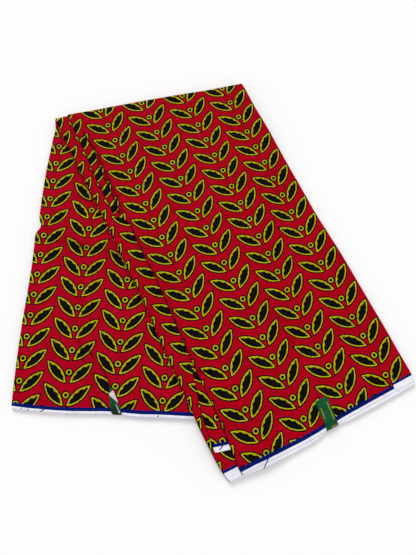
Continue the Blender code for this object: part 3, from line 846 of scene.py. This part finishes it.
def printed_cotton(name, ground_colour, deep_colour, marks=()):
    """Wax print cotton, with a navy stripe, a white margin and the printer's small marks at its selvedge."""
    finish = Finish(name, 0.8, shine=0.02)
    weft, warp, hem = finish.cloth()
    cloudy = finish.noise(weft, warp, CLOUD_SIZE)
    ground = finish.tone(cloudy.step_up(-0.2, 0.2), ground_colour, deep_colour)
    colour = leaf_print(finish, weft, warp, ground)
    ragged = hem + finish.noise(weft, warp, RAGGED_SIZE, 1.0) * RAGGED
    worn = finish.noise(weft, warp, WORN_SIZE).step_up(-0.1, 0.2)
    navy = finish.tone(worn, NAVY, DEEP_NAVY)
    stripe_top = PANEL_SELVEDGE.stripe
    in_stripe = ragged.step_down(stripe_top - SELVEDGE_EDGE, stripe_top + SELVEDGE_EDGE)
    colour = finish.tone(in_stripe, colour, navy)
    soiled = finish.noise(weft, warp, SOILED_SIZE).step_up(-0.1, 0.3)
    white = finish.tone(soiled, MARGIN_WHITE, SOILED_WHITE)
    for mark in marks:
        slanted = weft - hem * mark.slant - mark.weft
        along_mark = abs(hem + mark.below).step_down(mark.half, mark.half + 0.4)
        white = finish.tone(abs(slanted).step_down(MARK_HALF, MARK_OUTER) * along_mark, white, navy)
    colour = finish.tone(ragged.step_down(-SELVEDGE_EDGE, SELVEDGE_EDGE), colour, white)
    # Painted shade: the mesh's shade attribute darkens the colour in crease troughs, hollows and along left
    # edges.
    shade = finish.node("ShaderNodeAttribute", {"attribute_name": "shade"}, {}, "Fac")
    painted_shade_colour = finish.node("ShaderNodeMix", {"data_type": "RGBA", "blend_type": "MULTIPLY"},
                         {0: shade, 6: colour, 7: PAINTED_SHADE_TINT}, 2)
    finish.feed("Base Color", painted_shade_colour)
    turn = math.pi / THREAD_PITCH
    thread = (weft * turn).math("SINE") * (warp * turn).math("SINE")
    slub = finish.noise(weft, warp, SLUB_SIZE, 3.0)
    finish.raised(thread * THREAD_HEIGHT + slub * SLUB_HEIGHT, WEAVE_RELIEF, WEAVE_STRENGTH)
    finish.feed("Roughness", slub * 0.18 + 0.74)
    return finish.material


GREEN = screen(10, 88, 46)
DEEP_GREEN = screen(4, 68, 32)
# Painted shade for the back label where it bends down over the selvedge.
BEND_SHADE_GREEN = screen(2, 44, 16)
GOLD = screen(168, 146, 46)
PALE_BACK = screen(212, 200, 209)
LABEL_RELIEF = 0.4 * MM
LABEL_STRENGTH = 0.5
GOLD_BARS = [
    GoldBar(-6.0, -22.0, 0.6, 7.5, 0.4, 0.7),
    GoldBar(6.6, -20.0, 0.6, 13.0, 0.4, 0.7),
    GoldBar(3.4, 1.0, 4.8, 0.7, 0.6, 0.4),
]


def front_label_green():
    """Coated green label stock, with plain gold bars where such labels carry their print."""
    finish = Finish("front label green", 0.45, shine=0.12)
    side, beyond, _ = finish.cloth()
    soft = finish.noise(side, beyond, 9.0)
    # Painted shade: the label darkens towards where it bends down over the selvedge; the rest of this
    # darkening is random mottle.
    mottle_and_bend_shade = soft.step_up(-0.25, 0.25) * 0.7 + beyond.step_up(-14.0, -6.0) * 0.3
    colour = finish.tone(mottle_and_bend_shade, GREEN, DEEP_GREEN)
    bars = []
    for bar in GOLD_BARS:
        wide = abs(side - bar.side).step_down(bar.half_wide, bar.half_wide + bar.soft_wide)
        bars.append(wide * abs(beyond - bar.beyond).step_down(bar.half_long, bar.half_long + bar.soft_long))
    gold = most(most(bars[0], bars[1]), bars[2])
    finish.feed("Base Color", finish.tone(gold * 0.85, colour, GOLD))
    finish.feed("Metallic", gold * 0.3)
    finish.raised(soft, LABEL_RELIEF, LABEL_STRENGTH)
    return finish.material


def back_label_green():
    """The same stock, turned over near its top so that its pale back shows."""
    finish = Finish("back label green", 0.42, shine=0.15)
    side, beyond, _ = finish.cloth()
    soft = finish.noise(side, beyond, 5.0)
    colour = finish.tone(soft.step_up(-0.2, 0.25), GREEN, DEEP_GREEN)
    # Painted shade: the label darkens towards where it bends down over the selvedge.
    colour = finish.tone(beyond.step_up(-15.0, -7.0), colour, BEND_SHADE_GREEN)
    turned = (beyond - side * 0.88).step_down(-23.5, -22.9) * (beyond + side * 0.7).step_up(-33.8, -33.2)
    # Painted highlight: a light line along a fold of the label, in its pale back's colour.
    fold_highlight = abs(side - beyond * 0.2 - 5.5).step_down(0.5, 1.5) * beyond.step_up(-17.0, -15.0)
    flap = abs(side - 4.6).step_down(1.0, 1.8) * abs(beyond + 4.5).step_down(1.2, 2.4)
    pale = most(turned, most(fold_highlight * beyond.step_down(-4.0, -2.5) * 0.55, flap * 0.75))
    finish.feed("Base Color", finish.tone(pale, colour, PALE_BACK))
    finish.raised(soft, LABEL_RELIEF, LABEL_STRENGTH)
    return finish.material


# The printer's ink marks. The second front one shows on the pressed layers, below the first.
FRONT_MARKS = [SelvedgeMark(-75.0, 1.1, 2.6, 2.9), SelvedgeMark(-57.0, 1.1, 11.2, 2.6)]
BACK_MARKS = [
    SelvedgeMark(-252.0, 1.3, 1.6, 2.2),
    SelvedgeMark(-286.0, 0.0, 1.8, 0.5),
    SelvedgeMark(-276.0, 0.0, 2.4, 0.5),
    SelvedgeMark(-79.0, 0.0, 2.2, 0.6),
]
front_cotton = printed_cotton("front cotton print", FRONT_RED, FRONT_DEEP_RED, FRONT_MARKS)
back_cotton = printed_cotton("back cotton print", BACK_RED, BACK_DEEP_RED, BACK_MARKS)


def dress(piece, node):
    """Shows a piece in place of a node's plain solid."""
    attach(piece, "root")
    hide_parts(node)


def evenly(amount):
    return lambda place, across: amount + 0 * place


def plain_end(share):
    return 1.0 + 0 * share


def front_end(share):
    """The front panel's hem, which bulges a little."""
    left = pleat_edge(1.0)
    return 1.0 + along_hem(HEM_SHIFTS, left + (1 - left) * share, "front") * MM / FRONT_LENGTH


def back_end(share):
    return 1.0 + along_hem(HEM_SHIFTS, share, "back") * MM / BACK_LENGTH


def inner_end(share):
    return INNER_END_LEFT + (INNER_END_RIGHT - INNER_END_LEFT) * share


def uncovered(x, y):
    """1 where the back panel shows, down to 0 where the front run lies on it."""
    corner = FRONT_LEFT[0]
    clear = -(FRONT_LEFT_SQUARE[0] * (x - corner.x) + FRONT_LEFT_SQUARE[1] * (y - corner.y))
    return smooth((clear + COVERED_BY) / COVERED_EASE)


def front_rise(place, across):
    """How far the front panel is lifted by the pleats that reach under its left edge."""
    over = across - pleat_edge(place) - PLEAT_UNDER
    wedge = smooth((place - WEDGE_START) / WEDGE_EASE) * WEDGE_LIFT * (1 - smooth(over / WEDGE_SLOPE))
    rise = LEAST_LIFT + (PLEAT_LIFT + wedge) * (1 - smooth(over / PLEAT_SLOPE))
    near_hem = np.clip((place - 1 + TOP_HEM_REACH) / TOP_HEM_REACH, 0, 1) ** 2
    return rise * (1 - HEM_LIFT_LOST * near_hem)


def back_panel_cloth(place, across, out, x, y, to_hem):
    plan = np.stack([x, y], axis=-1) + taken_up(x, y, BACK_CREASES)
    weft, warp = on_grain(plan * MM, BACK_WEFT, NO_SHIFT)
    return weft, warp, from_stripe(to_hem * BACK_LENGTH / FRONT_LENGTH, BACK_SELVEDGE)


def front_panel_cloth(place, across, out, x, y, to_hem):
    """The front panel's print runs on round the fold, and its creases break it."""
    flat = unrolled(place, across, SLOT / 2 + LAYERS + out) + taken_up(x, y, FRONT_CREASES) * MM
    weft, warp = on_grain(flat, FRONT_WEFT, NO_SHIFT)
    hem = from_stripe(to_hem, PANEL_SELVEDGE)
    left = pleat_edge(place)
    numbered = (hem - NUMBER_SPACE_RISE * MM) * PANEL_SELVEDGE.stripe / NUMBER_STRIPE
    return weft, warp, np.where(across > left + (1 - left) * NUMBER_SPACE_START, numbered, hem)


def pleat_cloth(shift, selvedge):
    def cloth(place, across, out, x, y, to_hem):
        flat = unrolled(place, across, SLOT / 2 + LAYERS + out)
        return *on_grain(flat, FRONT_WEFT, shift), from_stripe(to_hem, selvedge)
    return cloth


for number in range(len(LAYER_TUBES)):
    layer = pressed_layer(number, front_cotton)
    dress(layer, "hidden_layers")

# Aside is how far a cloth's left and right sides lie out, in millimetres. Its edge shade is the width of
# the painted shade line along its left edge, as a share across.
back_panel = top_cloth(
    "back_panel_cloth", rows=BACK_ROWS, columns=BACK_COLUMNS,
    end=back_end, edges=lambda place: (0 * place, 0 * place + 1),
    base=evenly(OVER_LAYERS), thick=PANEL_THICK, aside=(0.0, 0.9), cloth_of=back_panel_cloth,
    material=back_cotton, face=back_face, folds=(BACK_CREASES, BACK_SWELLS), shown=uncovered)
dress(back_panel, "back_panel")

outer_pleat = top_cloth(
    "outer_pleat_cloth", rows=OUTER_PLEAT_ROWS, columns=PLEAT_COLUMNS,
    end=plain_end, edges=lambda place: (0 * place, pleat_edge(place) + PLEAT_UNDER),
    base=evenly(OVER_LAYERS), thick=OUTER_PLEAT_THICK, aside=(-0.4, 1.2),
    cloth_of=pleat_cloth(OUTER_PLEAT_PRINT, OUTER_PLEAT_SELVEDGE), material=front_cotton, edge_shade=0.026)
dress(outer_pleat, "outer_pleat")

inner_pleat = top_cloth(
    "inner_pleat_cloth", rows=INNER_PLEAT_ROWS, columns=PLEAT_COLUMNS, end=inner_end,
    edges=lambda place: (pleat_edge(place, "inner"), pleat_edge(place) + INNER_UNDER),
    base=evenly(OVER_OUTER_PLEAT), thick=INNER_PLEAT_THICK, aside=(0.0, 0.6),
    cloth_of=pleat_cloth(INNER_PLEAT_PRINT, INNER_PLEAT_SELVEDGE), material=front_cotton, edge_shade=0.026)
dress(inner_pleat, "inner_pleat")

front_panel = top_cloth(
    "front_panel_cloth", rows=FRONT_ROWS, columns=FRONT_COLUMNS,
    end=front_end, edges=lambda place: (pleat_edge(place), 0 * place + 1),
    base=front_rise, thick=PANEL_THICK, aside=(0.0, 1.0), cloth_of=front_panel_cloth,
    material=front_cotton, folds=(FRONT_CREASES, FRONT_SWELLS), edge_shade=0.0032)
dress(front_panel, "front_panel")

front_label = label("front_label_tab", "front", FRONT_LABEL_ACROSS, FRONT_LABEL_LEAN, FRONT_LABEL_STOPS,
                    FRONT_LABEL_FOLDS, front_label_green())
dress(front_label, "front_label")
back_label = label("back_label_tab", "back", BACK_LABEL_ACROSS, BACK_LABEL_LEAN, BACK_LABEL_STOPS,
                   BACK_LABEL_FOLDS, back_label_green())
dress(back_label, "back_label")


# The floor, the light and the photograph's camera, in metres and radians.
FLOOR_HALF = 4.0
FLOOR_DROP = 0.2 * MM
FLOOR_WHITE = (0.945, 0.945, 0.945, 1.0)
KEY_FROM = (-0.35, 0.72, 0.6)
KEY_SPREAD = 0.5
KEY_STRENGTH = 1.47
SURROUNDINGS = 0.76
CAMERA_AT = (-0.01717, -0.2120, 0.6565)
CAMERA_TILT = 0.2609
CAMERA_TURN = 0.0731
SENSOR_WIDTH = 36.0            # millimetres, as is the lens's length
LENS_LENGTH = 26.396
LENS_NEAR = 0.01


def white_floor():
    """A plain white floor that the cloth lies on."""
    side = FLOOR_HALF
    mesh = bpy.data.meshes.new("floor")
    corners = [(-side, -side), (side, -side), (side, side), (-side, side)]
    mesh.from_pydata([(x, y, -FLOOR_DROP) for x, y in corners], [], [(0, 1, 2, 3)])
    floor = bpy.data.objects.new("floor", mesh)
    bpy.context.scene.collection.objects.link(floor)
    finish = Finish("floor white", 0.9)
    finish.shader.inputs["Base Color"].default_value = FLOOR_WHITE
    mesh.materials.append(finish.material)


def soft_light(name, way, spread, strength):
    """Even light from one way, with soft shadows."""
    lamp = bpy.data.lights.new(name, "SUN")
    lamp.angle = spread
    lamp.energy = strength
    light = bpy.data.objects.new(name, lamp)
    light.location = way
    light.rotation_euler = (-Vector(way)).to_track_quat("-Z", "Y").to_euler()
    bpy.context.scene.collection.objects.link(light)


def camera_over_cloth():
    """The photograph's camera: over the cloth, tilted 15 degrees from straight down and turned a little."""
    lens = bpy.data.cameras.new("camera")
    lens.sensor_width = SENSOR_WIDTH
    lens.lens = LENS_LENGTH
    lens.clip_start = LENS_NEAR
    camera = bpy.data.objects.new("camera", lens)
    camera.matrix_world = (Matrix.Translation(CAMERA_AT) @ Matrix.Rotation(CAMERA_TILT, 4, "X")
                           @ Matrix.Rotation(CAMERA_TURN, 4, "Z"))
    bpy.context.scene.collection.objects.link(camera)
    bpy.context.scene.camera = camera


def pale_surroundings(strength):
    world = bpy.data.worlds.new("studio")
    world.use_nodes = True
    background = world.node_tree.nodes["Background"]
    background.inputs["Color"].default_value = (1.0, 1.0, 1.0, 1.0)
    background.inputs["Strength"].default_value = strength
    bpy.context.scene.world = world
    bpy.context.scene.view_settings.view_transform = "Standard"


white_floor()
soft_light("key", KEY_FROM, KEY_SPREAD, KEY_STRENGTH)
camera_over_cloth()
pale_surroundings(SURROUNDINGS)
